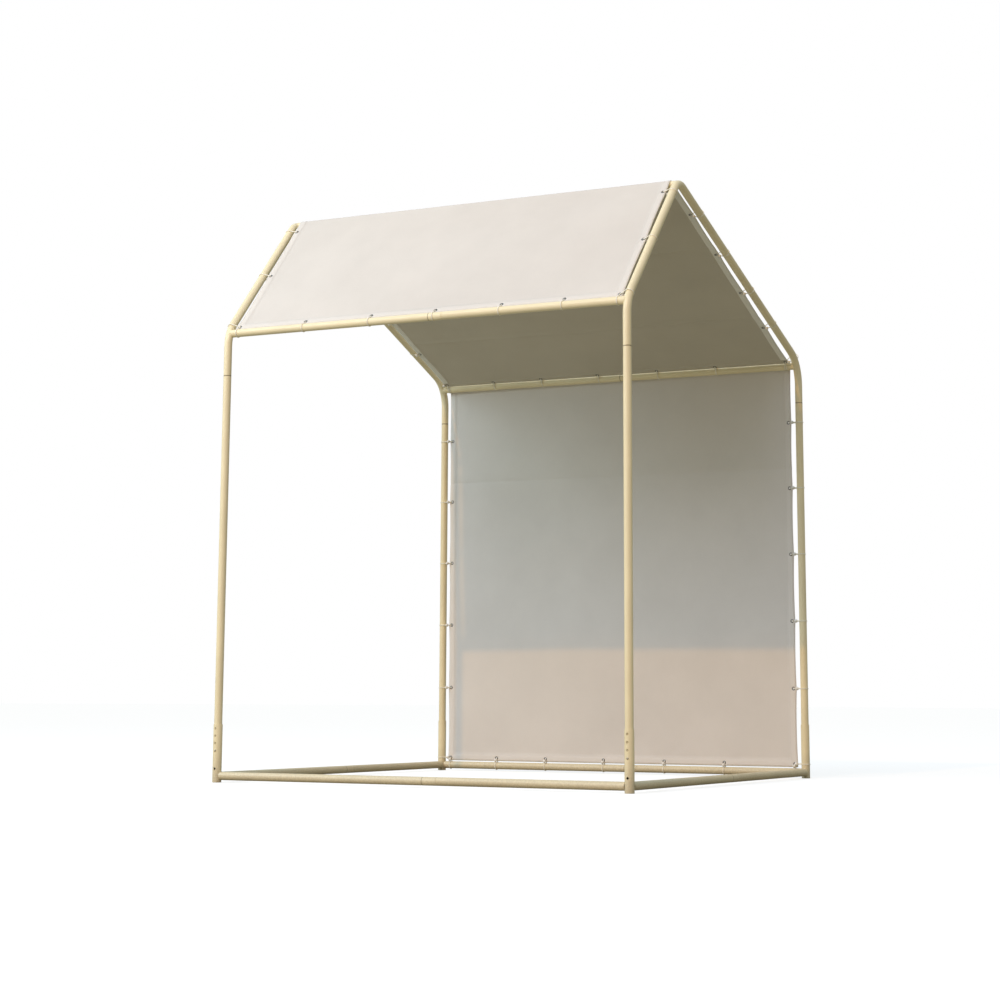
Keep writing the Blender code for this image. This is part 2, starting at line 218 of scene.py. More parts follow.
class Cloth:
    """A hemmed sheet over a flat plan (across, along), placed by a profile of the along value."""

    def __init__(self, width, profile, length, eyelets, creases, bends=()):
        self.width = width
        self.length = length
        self.eyelets = eyelets
        self.creases = creases
        half_hole = EYELET_HOLE + 0.0006
        hem_lines = (HEM_WIDTH - 0.0006, HEM_WIDTH + 0.0006)
        fixed_u = [mark for line in hem_lines for mark in (line, width - line)]
        fixed_v = [mark for line in hem_lines for mark in (line, length - line)]
        for u, v in eyelets:
            fixed_u += [u - half_hole, u + half_hole]
            fixed_v += [v - half_hole, v + half_hole]
        fixed_v += [crease + side for crease in creases for side in (-0.004, 0, 0.004)]
        fixed_v += list(bends)
        self.u = grid_lines(width, fixed_u, CLOTH_STEP)
        self.v = grid_lines(length, fixed_v, CLOTH_STEP)
        grid_u, grid_v = np.meshgrid(self.u, self.v, indexing="ij")
        self.grid_u, self.grid_v = grid_u, grid_v
        places = [profile(value) for value in self.v]
        base = np.array([tuple(place) for place, _ in places])
        normals = np.array([tuple(normal) for _, normal in places])
        self.points = np.zeros((*grid_u.shape, 3))
        self.points += base[None, :, :]
        self.points[..., 0] += grid_u - width / 2
        self.normals = np.broadcast_to(normals, self.points.shape).copy()
        self.free = np.ones_like(grid_u)

    def lift(self, amount):
        """Moves every point along the sheet's normal."""
        self.points += self.normals * (amount * self.free)[..., None]

    def side_marks(self, at_start):
        """How far along the eyelets of one side are."""
        edge = EYELET_INSET if at_start else self.width - EYELET_INSET
        return sorted(v for u, v in self.eyelets if abs(u - edge) < 0.002)

    def scallop(self, depth):
        """Draws each side edge in a little between its eyelets."""
        for at_start in (True, False):
            distance = self.grid_u if at_start else self.width - self.grid_u
            marks = self.side_marks(at_start)
            pull = np.zeros_like(distance)
            for low, high in zip(marks, marks[1:]):
                share = np.clip((self.grid_v - low) / (high - low), 0, 1)
                pull += depth * ((high - low) / 0.25) ** 2 * 4 * share * (1 - share)
            self.points[..., 0] += (1 if at_start else -1) * pull * np.exp(-distance / 0.05)

    def tension(self, height):
        """Small folds that fan out of each eyelet towards the middle of the sheet."""
        total = np.zeros_like(self.grid_u)
        for index, (u, v) in enumerate(self.eyelets):
            du, dv = self.grid_u - u, self.grid_v - v
            reach = np.hypot(du, dv)
            angle = np.arctan2(dv, du)
            fan = np.cos(7 * angle + 1.7 * index) + 0.6 * np.cos(11 * angle + 2.3 * index)
            total += fan * (reach / 0.05) * np.exp(-reach / 0.045)
        self.lift(height * total)

    def ripple(self, height, seed):
        """Broad soft unevenness, as a sum of a few long waves."""
        rng = np.random.default_rng(seed)
        total = np.zeros_like(self.grid_u)
        for _ in range(14):
            turn = rng.uniform(0, 2 * math.pi)
            length = rng.uniform(0.16, 0.70)
            phase = rng.uniform(0, 2 * math.pi)
            wave = self.grid_u * math.cos(turn) + self.grid_v * math.sin(turn)
            total += length * np.sin(2 * math.pi * wave / length + phase)
        self.lift(height * total * self.inside(0.06))

    def inside(self, width):
        """0 at the edges of the sheet, rising to 1 over the given width."""
        across = np.minimum(self.grid_u, self.width - self.grid_u)
        along = np.minimum(self.grid_v, self.length - self.grid_v)
        return 1 - np.exp(-np.minimum(across, along) / width)

    def crease(self, height):
        """Sharp ridges left by how the sheet was folded in its bag."""
        for place, sign in zip(self.creases, (1, -1)):
            self.lift(sign * height * np.exp(-np.abs(self.grid_v - place) / CREASE_WIDTH))

    def at(self, u, v):
        """The sheet's point and its unit directions across, along and outward at a plan place."""
        i = int(np.clip(np.searchsorted(self.u, u) - 1, 0, len(self.u) - 2))
        j = int(np.clip(np.searchsorted(self.v, v) - 1, 0, len(self.v) - 2))
        a = (u - self.u[i]) / (self.u[i + 1] - self.u[i])
        b = (v - self.v[j]) / (self.v[j + 1] - self.v[j])
        p00, p10 = self.points[i, j], self.points[i + 1, j]
        p01, p11 = self.points[i, j + 1], self.points[i + 1, j + 1]
        point = (1 - a) * (1 - b) * p00 + a * (1 - b) * p10 + (1 - a) * b * p01 + a * b * p11
        across = Vector((1 - b) * (p10 - p00) + b * (p11 - p01)).normalized()
        along = Vector((1 - a) * (p01 - p00) + a * (p11 - p10)).normalized()
        return Vector(point), across, along, across.cross(along).normalized()

    def is_hole(self, i, j):
        mid_u = (self.u[i] + self.u[i + 1]) / 2
        mid_v = (self.v[j] + self.v[j + 1]) / 2
        gaps = (max(abs(mid_u - u), abs(mid_v - v)) for u, v in self.eyelets)
        return any(gap < EYELET_HOLE for gap in gaps)

    def in_hem(self, u, v):
        return min(u, self.width - u, v, self.length - v) < HEM_WIDTH

    def build(self, name, materials, pale_to):
        """The sheet as an object: thick at its hems, thin inside, open at its eyelets.

        The hem is paler than the cloth, but only up to a given length along; past it the hem takes the
        cloth's colour, which at the roof's rear edge is painted shade above the rear rail.
        """
        bm = bmesh.new()
        grid_uv = bm.loops.layers.uv.new("cloth")
        verts = [[bm.verts.new(point) for point in row] for row in self.points]
        plan = {}
        for i, row in enumerate(verts):
            for j, vert in enumerate(row):
                plan[vert] = (self.u[i], self.v[j])
        for i in range(len(self.u) - 1):
            for j in range(len(self.v) - 1):
                if self.is_hole(i, j):
                    continue
                corners = verts[i][j], verts[i + 1][j], verts[i + 1][j + 1], verts[i][j + 1]
                face = bm.faces.new(corners)
                mid = (self.u[i] + self.u[i + 1]) / 2, (self.v[j] + self.v[j + 1]) / 2
                face.material_index = 1 if self.in_hem(*mid) and mid[1] < pale_to else 0
                for loop in face.loops:
                    loop[grid_uv].uv = plan[loop.vert]
        hem = [self.in_hem(u, v) for u in self.u for v in self.v]
        made = new_object(name, bm, *materials)
        group = made.vertex_groups.new(name="hem")
        group.add([index for index, inside in enumerate(hem) if inside], 1.0, "REPLACE")
        solidify = made.modifiers.new("Thickness", "SOLIDIFY")
        solidify.thickness = HEM_THICKNESS
        solidify.offset = 0
        solidify.vertex_group = "hem"
        solidify.thickness_vertex_group = CLOTH_THICKNESS / HEM_THICKNESS
        solidify.use_even_offset = False
        solidify.material_offset = 2
        solidify.material_offset_rim = 1
        return made

    def seam_path(self):
        """Plan places of the stitches, round the whole hem."""
        inset = SEAM_INSET
        corners = [
            (inset, inset), (self.width - inset, inset),
            (self.width - inset, self.length - inset), (inset, self.length - inset),
        ]
        for start, end in zip(corners, corners[1:] + corners[:1]):
            run = math.dist(start, end)
            count = int(run / STITCH_PITCH)
            direction = ((end[0] - start[0]) / run, (end[1] - start[1]) / run)
            for step in range(count):
                distance = (step + 0.5) * run / count
                yield start[0] + direction[0] * distance, start[1] + direction[1] * distance, direction

    def build_stitches(self, name, material):
        """Lock stitches on both faces of the hem, each a short rounded thread."""
        bm = bmesh.new()
        for u, v, direction in self.seam_path():
            point, across, along, normal = self.at(u, v)
            run = across * direction[0] + along * direction[1]
            side = run.cross(normal)
            for face in (1, -1):
                add_stitch(bm, point + normal * face * HEM_THICKNESS / 2, run, side, normal * face)
        return new_object(name, bm, material)


def add_stitch(bm, centre, run, side, up):
    """A thread that dips into the cloth at both ends."""
    stations = ((-0.5, -0.0002), (-0.3, 0.00022), (0.3, 0.00022), (0.5, -0.0002))
    rings = []
    for share, height in stations:
        middle = centre + run * STITCH_LENGTH * share + up * height
        corners = ((0.00035, 0.0), (0.0, 0.00028), (-0.00035, 0.0), (0.0, -0.00028))
        rings.append([bm.verts.new(middle + side * across + up * rise) for across, rise in corners])
    for first, second in zip(rings, rings[1:]):
        for step in range(4):
            after = (step + 1) % 4
            bm.faces.new((first[step], first[after], second[after], second[step]))
    bm.faces.new(rings[0][::-1])
    bm.faces.new(rings[-1])


# ---------------------------------------------------------------- eyelets and ties

def build_eyelets(name, cloth, material):
    """Turned metal eyelets clamped on both faces of the hem."""
    bm = bmesh.new()
    half = HEM_THICKNESS / 2
    profile = [
        (-half - 0.0001, EYELET_RADIUS), (-half - 0.0007, EYELET_RADIUS - 0.0006),
        (-half - 0.0010, EYELET_HOLE + 0.0012), (-half - 0.0005, EYELET_HOLE + 0.0002),
        (half + 0.0005, EYELET_HOLE + 0.0002), (half + 0.0010, EYELET_HOLE + 0.0012),
        (half + 0.0007, EYELET_RADIUS - 0.0006), (half + 0.0001, EYELET_RADIUS),
    ]
    for u, v in cloth.eyelets:
        point, _, _, normal = cloth.at(u, v)
        turn_profile(bm, point, normal, profile)
    bmesh.ops.recalc_face_normals(bm, faces=bm.faces)
    return new_object(name, bm, material)


def nearest_on_line(point, start, end):
    along = (end - start).normalized()
    return start + along * (point - start).dot(along), along


def loop_points(eyelet, normal, centre, along, radius):
    """A teardrop loop through an eyelet, round a tube, over and under the cloth's edge."""
    reach = eyelet - centre
    reach -= along * reach.dot(along)
    distance = reach.length
    out = reach / distance
    up = along.cross(out)
    if up.dot(normal) < 0:
        up = -up
    drop = eyelet - (centre + out * distance)
    grip = math.acos(radius / distance)
    rise = HEM_THICKNESS / 2 + CORD_RADIUS + 0.0004
    points = [Vector((0, 0))]
    points.append(Vector((-0.0015, rise)))
    points.append(Vector((-0.0060, rise + 0.0005)))
    steps = 12
    for step in range(steps + 1):
        angle = grip + (2 * math.pi - 2 * grip) * step / steps
        points.append(Vector((radius * math.cos(angle) - distance, radius * math.sin(angle))))
    points.append(Vector((-0.0060, -rise - 0.0005)))
    points.append(Vector((-0.0015, -rise)))
    placed = []
    for point in points:
        share = min(1.0, -point.x / distance)
        placed.append(centre + out * (distance + point.x) + up * point.y + drop * (1 - share))
    return placed


def add_tie(cords, balls, eyelet, normal, centre, along, tube_radius, ball_side):
    """A doubled elastic loop round a tube, held by a ball on one side of the cloth."""
    radius = tube_radius + CORD_RADIUS + 0.0002
    for side in (-1, 1):
        offset = along * side * CORD_RADIUS
        points = [point + offset for point in loop_points(eyelet, normal, centre, along, radius)]
        sweep(cords, points, along, CORD_RADIUS)
    toward = centre - eyelet
    toward -= along * toward.dot(along)
    clear = toward.length - tube_radius - BALL_RADIUS - 0.001
    reach = SLEEVE_TIE_REACH if tube_radius == SLEEVE_RADIUS else 0.42 * toward.length
    shift = toward.normalized() * min(clear, reach)
    place = eyelet + shift + normal * ball_side * (BALL_RADIUS + 0.0035)
    steps = 9
    flat = 0.22
    profile = []
    for step in range(steps + 1):
        angle = flat + (math.pi - 2 * flat) * step / steps
        profile.append((-math.cos(angle) * BALL_RADIUS, math.sin(angle) * BALL_RADIUS))
    turn_profile(balls, place, toward.normalized(), profile, sides=16, closed=False)


# ---------------------------------------------------------------- springs

LEAF_SECTION = (
    (-0.97, -1), (0.97, -1), (1, -0.4), (1, 0.4),
    (0.97, 1), (-0.97, 1), (-1, 0.4), (-1, -0.4),
)


def build_spring(name, node, outward, material):
    """A hairpin leaf: one arm behind the button, a round bend above it, one arm on the far wall."""
    low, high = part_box(node)
    middle = (low.x + high.x) / 2
    half = SPRING_THICKNESS / 2
    far = (low.y if outward > 0 else high.y) + outward * half
    depth = high.y - low.y - 2 * half
    bend = 0.003
    top = high.z - half - bend
    line = [(depth, low.z), (depth, low.z + 0.011), (depth, low.z + 0.022)]
    for step in range(9):
        angle = math.pi * step / 8
        line.append((bend * 1.15 + bend * math.cos(angle), top + bend * math.sin(angle)))
    line += [(0.0, top - 0.012), (0.0, (top + low.z) / 2), (0.0, low.z)]
    places = [Vector((middle, far + outward * out, z)) for out, z in line]
    bm = bmesh.new()
    rings = []
    for index, place in enumerate(places):
        run = (places[min(index + 1, len(places) - 1)] - places[max(index - 1, 0)]).normalized()
        normal = X_AXIS.cross(run) * half
        side = X_AXIS * (high.x - low.x) / 2
        ring = [place + side * across + normal * rise for across, rise in LEAF_SECTION]
        rings.append([bm.verts.new(corner) for corner in ring])
    for first, second in zip(rings, rings[1:]):
        for step in range(8):
            after = (step + 1) % 8
            bm.faces.new((first[step], first[after], second[after], second[step]))
    bm.faces.new(rings[0])
    bm.faces.new(rings[-1])
    bmesh.ops.recalc_face_normals(bm, faces=bm.faces)
    return new_object(name, bm, material), far, far + outward * depth


def add_springs(material):
    """Builds a hairpin leaf for each button and hides the button's own spring solid."""
    for end, outward in (("front", -1), ("rear", 1)):
        for side in ("left", "right"):
            node = f"button_spring_{end}_{side}"
            leaf, far, near = build_spring(f"button_leaf_{end}_{side}", node, outward, material)
            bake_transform(leaf)
            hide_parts(node)


# ---------------------------------------------------------------- materials

def shader(name, colour, roughness, metallic=0.0, sheen=0.0):
    made = bpy.data.materials.new(name)
    made.use_nodes = True
    made.diffuse_color = (*colour, 1.0)
    principled = made.node_tree.nodes["Principled BSDF"]
    principled.inputs["Base Color"].default_value = (*colour, 1.0)
    principled.inputs["Roughness"].default_value = roughness
    principled.inputs["Metallic"].default_value = metallic
    principled.inputs["Sheen Weight"].default_value = sheen
    return made


def add_node(material, kind, **values):
    node = material.node_tree.nodes.new(kind)
    for key, value in values.items():
        if key in node.inputs:
            node.inputs[key].default_value = value
        else:
            setattr(node, key, value)
    return node


def link(material, source, output, target, socket):
    material.node_tree.links.new(source.outputs[output], target.inputs[socket])


def noise(material, coordinates, scale, detail=3.0, roughness=0.5):
    texture = add_node(material, "ShaderNodeTexNoise", Scale=scale, Detail=detail, Roughness=roughness)
    link(material, *coordinates, texture, "Vector")
    return texture


def ramp(material, source, output, low, high, first, second):
    """Maps a value between low and high onto two colours."""
    node = add_node(material, "ShaderNodeValToRGB")
    stops = node.color_ramp.elements
    stops[0].position, stops[0].color = low, (*first, 1.0)
    stops[1].position, stops[1].color = high, (*second, 1.0)
    link(material, source, output, node, "Fac")
    return node


def tinted(colour, factor):
    return tuple(min(1.0, part * factor) for part in colour)


def add_bump(material, source, output, strength, distance, before=None):
    node = add_node(material, "ShaderNodeBump", Strength=strength, Distance=distance)
    link(material, source, output, node, "Height")
    if before:
        link(material, before, "Normal", node, "Normal")
    return node


def mapped(material, source, output, low, high, start=0.0, end=1.0):
    """A value between low and high, clamped and mapped onto start to end."""
    limits = {"From Min": low, "From Max": high, "To Min": start, "To Max": end}
    node = add_node(material, "ShaderNodeMapRange", **limits)
    link(material, source, output, node, "Value")
    return node, "Result"


def times(material, first, *others):
    for other in others:
        node = add_node(material, "ShaderNodeMath", operation="MULTIPLY")
        link(material, *first, node, 0)
        link(material, *other, node, 1)
        first = node, "Value"
    return first


def painted_over(material, under, mask, colour):
    """A colour laid over another where the mask is one."""
    node = add_node(material, "ShaderNodeMix", data_type="RGBA")
    node.inputs[7].default_value = (*colour, 1.0)
    link(material, *mask, node, 0)
    link(material, *under, node, 6)
    return node, 2


def apart(material, source, output, value):
    """How far a coordinate is from a value."""
    gap = add_node(material, "ShaderNodeMath", operation="SUBTRACT")
    link(material, source, output, gap, 0)
    gap.inputs[1].default_value = value
    size = add_node(material, "ShaderNodeMath", operation="ABSOLUTE")
    link(material, gap, "Value", size, 0)
    return size, "Value"


def powder_coat(name, colour, rubbed=False):
    """Satin powder coat: orange peel, slight colour drift, dust low down, dark joint lines.

    The uprights' kind also has a darker streaked stripe down the front and back of each leg below the
    sleeve's top: painted shade that shows through the sleeve's holes, and the line their rims scrape
    down a leg.
    """
    made = shader(name, colour, 0.40)
    principled = made.node_tree.nodes["Principled BSDF"]
    place = add_node(made, "ShaderNodeTexCoord")
    drift = noise(made, (place, "Object"), 5.0)
    tone = ramp(made, drift, "Fac", 0.35, 0.68, tinted(colour, 0.95), tinted(colour, 1.03)), "Color"
    split = add_node(made, "ShaderNodeSeparateXYZ")
    link(made, place, "Object", split, "Vector")
    specks = noise(made, (place, "Object"), 160.0, detail=5.0, roughness=0.65), "Fac"
    dust = times(made, mapped(made, split, "Z", 0.10, 0.0), specks)
    tone = painted_over(made, tone, dust, (0.36, 0.31, 0.23))
    across = mapped(made, *apart(made, split, "X", RAIL_SEAM - 0.001), 0.0022, 0.0012)
    level = mapped(made, *apart(made, split, "Z", LEG_SEAM - 0.001), 0.0026, 0.0014)
    beside = mapped(made, *apart(made, split, "Y", RAIL_SEAM - 0.001), 0.0022, 0.0012)
    beside = times(made, beside, mapped(made, split, "Z", 0.06, 0.05))
    for joint in (across, level, beside):
        tone = painted_over(made, tone, joint, (0.43, 0.36, 0.22))
    if rubbed:
        # Darker streaked stripe on each upright's front and back below 0.196 m: painted shade seen
        # through the sleeve's holes, and a scrape line above the sleeve when raised.
        side = add_node(made, "ShaderNodeMath", operation="ABSOLUTE")
        link(made, split, "X", side, 0)
        line = mapped(made, *apart(made, side, "Value", LEG_X), 0.0058, 0.0040)
        below = mapped(made, split, "Z", 0.196, 0.188)
        rub_and_shade_streaks = mapped(made, *specks, 0.15, 0.55, 0.55, 1.0)
        tone = painted_over(made, tone, times(made, line, below, rub_and_shade_streaks), (0.50, 0.42, 0.25))
    link(made, *tone, principled, "Base Color")
    gloss = noise(made, (place, "Object"), 60.0)
    link(made, *mapped(made, gloss, "Fac", 0.0, 1.0, 0.34, 0.48), principled, "Roughness")
    peel = noise(made, (place, "Object"), 420.0, detail=2.0)
    normal = add_bump(made, peel, "Fac", 0.10, 0.0004)
    link(made, normal, "Normal", principled, "Normal")
    return made


def coated_cloth(name, colour, drift=0.05):
    """Coated woven polyester: a fine plain weave, faint mottling and a soft sheen."""
    made = shader(name, colour, 0.82, sheen=0.12)
    principled = made.node_tree.nodes["Principled BSDF"]
    principled.inputs["Sheen Roughness"].default_value = 0.5
    principled.inputs["Specular IOR Level"].default_value = 0.25
    place = add_node(made, "ShaderNodeTexCoord")
    mottle = noise(made, (place, "Object"), 3.2, detail=5.0, roughness=0.6)
    dark, light = tinted(colour, 1 - drift), tinted(colour, 1 + drift * 0.6)
    tone = ramp(made, mottle, "Fac", 0.30, 0.72, dark, light)
    yarn = noise(made, (place, "Object"), 900.0, detail=2.0)
    fleck = ramp(made, yarn, "Fac", 0.2, 0.8, (0.94, 0.94, 0.94), (1.0, 1.0, 1.0))
    product = add_node(made, "ShaderNodeMix", data_type="RGBA", blend_type="MULTIPLY")
    product.inputs[0].default_value = 1.0
    link(made, tone, "Color", product, 6)
    link(made, fleck, "Color", product, 7)
    link(made, product, 2, principled, "Base Color")
    plan = add_node(made, "ShaderNodeUVMap", uv_map="cloth")
    heights = []
    for direction in ("X", "Y"):
        thread = add_node(made, "ShaderNodeTexWave", bands_direction=direction, Scale=260.0)
        link(made, plan, "UV", thread, "Vector")
        heights.append(thread)
    weave = add_node(made, "ShaderNodeMath", operation="MULTIPLY")
    link(made, heights[0], "Fac", weave, 0)
    link(made, heights[1], "Fac", weave, 1)
    fine = add_bump(made, weave, "Value", 0.20, 0.0002)
    handle = noise(made, (place, "Object"), 28.0, detail=4.0, roughness=0.55)
    soft = add_bump(made, handle, "Fac", 0.22, 0.0016, before=fine)
    link(made, soft, "Normal", principled, "Normal")
    return made


def plain_noise(name, colour, roughness, scale, metallic=0.0, strength=0.1, distance=0.0003):
    """A plain material with slight changes of tone and a fine bump."""
    made = shader(name, colour, roughness, metallic)
    principled = made.node_tree.nodes["Principled BSDF"]
    place = add_node(made, "ShaderNodeTexCoord")
    grain = noise(made, (place, "Object"), scale)
    tone = ramp(made, grain, "Fac", 0.3, 0.7, tinted(colour, 0.9), tinted(colour, 1.05))
    link(made, tone, "Color", principled, "Base Color")
    normal = add_bump(made, grain, "Fac", strength, distance)
    link(made, normal, "Normal", principled, "Normal")
    return made


# ---------------------------------------------------------------- roof and wall

FRONT_EYELETS = (-0.47, -0.20, 0.055, 0.31, 0.545)
REAR_EYELETS = (-0.53, -0.31, -0.055, 0.205, 0.455)
WALL_SIDE_EYELETS = [0.331 + 0.2525 * step for step in range(5)]


def roof_profile():
    """The roof's section as a function of length from its front edge, with its stations."""
    front_up = (RIDGE_CORNER - FRONT_CORNER).normalized()
    rear_up = (RIDGE_CORNER - REAR_CORNER).normalized()
    front_normal = X_AXIS.cross(front_up)
    rear_normal = -X_AXIS.cross(rear_up)
    front_edge = in_plane(FRONT_RAIL) + front_up * (TUBE_RADIUS + ROOF_FRONT_GAP)
    front_edge += front_normal * EDGE_LIFT
    rear_edge = in_plane(REAR_RAIL) + rear_up * (TUBE_RADIUS + ROOF_REAR_GAP)
    rear_edge += rear_normal * EDGE_LIFT
    ridge = in_plane(RIDGE_TUBE)
    radius = TUBE_RADIUS + RIDGE_CLEARANCE
    first = ridge + front_normal * radius
    last = ridge + rear_normal * radius
    front_length = (first - front_edge).length
    rear_length = (rear_edge - last).length
    turn = front_normal.angle(rear_normal)
    arc = radius * turn

    def profile(value):
        if value <= front_length:
            return front_edge.lerp(first, value / front_length), front_normal
        if value < front_length + arc:
            normal = front_normal.slerp(rear_normal, (value - front_length) / arc)
            return ridge + normal * radius, normal
        return last.lerp(rear_edge, (value - front_length - arc) / rear_length), rear_normal

    return profile, front_length, arc, rear_length


def in_plane(point):
    return Vector((0, point.y, point.z))


def build_roof(materials, thread, metal):
    profile, front, arc, rear = roof_profile()
    length = front + arc + rear
    half_width = ROOF_HALF_WIDTH + ROOF_SIDE_EXTRA
    width = 2 * half_width
    sides = [front * 0.485, front * 0.905]
    sides += [front + arc + rear * share for share in (0.165, 0.375, 0.585, 0.785)]
    eyelets = [(x + half_width, EYELET_INSET) for x in FRONT_EYELETS]
    eyelets += [(x + half_width, length - EYELET_INSET) for x in REAR_EYELETS]
    for u in (EYELET_INSET, width - EYELET_INSET):
        eyelets += [(u, v) for v in [EYELET_INSET, *sides, length - EYELET_INSET]]
    bends = [front + arc * step / 5 for step in range(6)]
    creases = [front + arc + rear * share for share in (0.34, 0.72)]
    cloth = Cloth(width, profile, length, eyelets, creases, bends)
    drop = np.where(cloth.grid_v > front + arc, (cloth.grid_v - front - arc) / rear, 0)
    rise = np.where(cloth.grid_v < front, cloth.grid_v / front, 0)
    span = np.maximum(np.sin(math.pi * cloth.grid_u / width), 0) ** 0.8
    cloth.lift(-0.010 * span * np.sin(math.pi * drop) - 0.003 * span * np.sin(math.pi * rise))
    cloth.free = 1 - bump(cloth.grid_v - front - arc / 2, 0.06)
    cloth.ripple(0.0011, 11)
    cloth.tension(TENSION_HEIGHT)
    cloth.crease(CREASE_HEIGHT)
    cloth.scallop(EDGE_SCALLOP)
    # The rear hem keeps the darker underside colour: painted shade along the rear eave rail.
    made = cloth.build("roof_cloth", materials, pale_to=length - HEM_WIDTH)
    stitches = cloth.build_stitches("roof_stitching", thread)
    return cloth, made, stitches, build_eyelets("roof_eyelets", cloth, metal)


def build_wall(materials, thread, metal):
    low = Vector((0, LEG_Y, WALL_BOTTOM))
    high = Vector((0, REAR_RAIL.y + TUBE_RADIUS + WALL_BEHIND_RAIL, WALL_TOP))
    length = (high - low).length
    width = 2 * (WALL_HALF_WIDTH + WALL_SIDE_EXTRA)
    up = (high - low).normalized()
    inward = up.cross(X_AXIS)

    def profile(value):
        return low.lerp(high, value / length), -inward

    eyelets = [(x + width / 2, v) for x in REAR_EYELETS for v in (EYELET_INSET, length - EYELET_INSET)]
    sides = [z - WALL_BOTTOM for z in WALL_SIDE_EYELETS]
    for u in (EYELET_INSET, width - EYELET_INSET):
        eyelets += [(u, v) for v in [EYELET_INSET, *sides, length - EYELET_INSET]]
    cloth = Cloth(width, profile, length, eyelets, [length * 0.735])
    span = np.sin(math.pi * cloth.grid_u / width) * np.sin(math.pi * cloth.grid_v / length)
    cloth.lift(0.006 * span)
    cloth.ripple(0.0009, 5)
    cloth.tension(TENSION_HEIGHT)
    cloth.crease(-CREASE_HEIGHT)
    cloth.scallop(EDGE_SCALLOP)
    made = cloth.build("wall_cloth", materials, pale_to=length)
    stitches = cloth.build_stitches("wall_stitching", thread)
    return cloth, made, stitches, build_eyelets("wall_eyelets", cloth, metal)


def tie_group(name, ties, cord, ball):
    """One object for the cords and one for the balls of a group of ties."""
    cords, balls = bmesh.new(), bmesh.new()
    for tie in ties:
        add_tie(cords, balls, *tie)
    for bm in (cords, balls):
        bmesh.ops.recalc_face_normals(bm, faces=bm.faces)
    return new_object(name + "_cords", cords, cord), new_object(name + "_balls", balls, ball)


def side_line(side, start, end):
    shift = X_AXIS * side * LEG_X
    return start + shift, end + shift


def roof_ties(cloth):
    """Ties of the front and rear edges to the eave rails, and of the sides to the rafters."""
    for u, v in cloth.eyelets:
        point, _, _, normal = cloth.at(u, v)
        at_side = min(u, cloth.width - u) < EYELET_INSET + 0.002
        at_end = min(v, cloth.length - v) < EYELET_INSET + 0.002
        if at_end:
            rail = FRONT_RAIL if v < cloth.length / 2 else REAR_RAIL
            centre = Vector((point.x, rail.y, rail.z))
            yield point, normal, centre, X_AXIS, TUBE_RADIUS, -1 if rail == FRONT_RAIL else 1
        if at_side:
            side = 1 if point.x > 0 else -1
            corner = FRONT_CORNER if point.y < RIDGE_CORNER.y else REAR_CORNER
            start, end = side_line(side, corner, RIDGE_CORNER)
            centre, along = nearest_on_line(point, start, end)
            yield point, normal, centre, along, TUBE_RADIUS, -1


def wall_ties(cloth, which):
    """Ties of the wall: to the base rail, to the sleeves, or to the rest of the upper frame."""
    for u, v in cloth.eyelets:
        point, _, _, normal = cloth.at(u, v)
        side = 1 if point.x > 0 else -1
        at_side = min(u, cloth.width - u) < EYELET_INSET + 0.002
        at_foot = v < EYELET_INSET + 0.002
        at_head = v > cloth.length - EYELET_INSET - 0.002
        leg = Vector((side * LEG_X, LEG_Y, point.z))
        if which == "base_rail" and at_foot:
            yield point, normal, Vector((point.x, BASE_RAIL.y, BASE_RAIL.z)), X_AXIS, TUBE_RADIUS, 1
        if which == ("left", "right")[side > 0] + "_sleeve" and at_foot and at_side:
            yield point, normal, leg, Z_AXIS, SLEEVE_RADIUS, 1
        if which == "upper" and at_side and not at_foot and not at_head:
            yield point, normal, leg, Z_AXIS, TUBE_RADIUS, 1
        if which == "upper" and at_head:
            yield point, normal, Vector((point.x, REAR_RAIL.y, REAR_RAIL.z)), X_AXIS, TUBE_RADIUS, 1


# ---------------------------------------------------------------- the frame's own solids

def smooth_tubes(nodes, materials):
    """Smooth shading and small edge rounds over the faceted solids, as modifiers only."""
    for name, node in nodes.items():
        mesh = node.data
        if "custom_normal" in mesh.attributes:
            mesh.attributes.remove(mesh.attributes["custom_normal"])
        mesh.shade_smooth()
        weld = node.modifiers.new("Weld", "WELD")
        weld.merge_threshold = 0.00002
        if "rail" in name or "ridge_tube" in name or "foot_cap" in name:
            bevel = node.modifiers.new("Edges", "BEVEL")
            bevel.width = 0.0004
            bevel.segments = 2
            bevel.limit_method = "ANGLE"
            bevel.angle_limit = math.radians(35)
        else:
            split = node.modifiers.new("Sharp", "EDGE_SPLIT")
            split.split_angle = math.radians(35)
        weighted = node.modifiers.new("Normals", "WEIGHTED_NORMAL")
        weighted.keep_sharp = True
        slot = node.data.materials[0].name
        node.data.materials.clear()
        node.data.materials.append(materials[slot.split(".")[0]])


# ---------------------------------------------------------------- stage, light and camera

def by_ray(owner, unseen, seen, output):
    """One shader for what lights the object, another for what the picture shows."""
    rays = add_node(owner, "ShaderNodeLightPath")
    mix = add_node(owner, "ShaderNodeMixShader")
    link(owner, rays, "Is Camera Ray", mix, 0)
    link(owner, *unseen, mix, 1)
    link(owner, *seen, mix, 2)
    link(owner, mix, "Shader", output, "Surface")


def build_floor():
    bm = bmesh.new()
    bmesh.ops.create_circle(bm, cap_ends=True, segments=64, radius=60)
    made = shader("pale_floor", (0.36, 0.36, 0.36), 0.9)
    tree = made.node_tree
    principled = tree.nodes["Principled BSDF"]
    principled.inputs["Emission Color"].default_value = (1.0, 1.0, 1.0, 1.0)
    principled.inputs["Emission Strength"].default_value = 0.72
    dull = add_node(made, "ShaderNodeBsdfDiffuse", Color=(0.345, 0.318, 0.243, 1.0))
    by_ray(made, (dull, "BSDF"), (principled, "BSDF"), tree.nodes["Material Output"])
    floor = new_object("floor", bm, made, smooth=False)


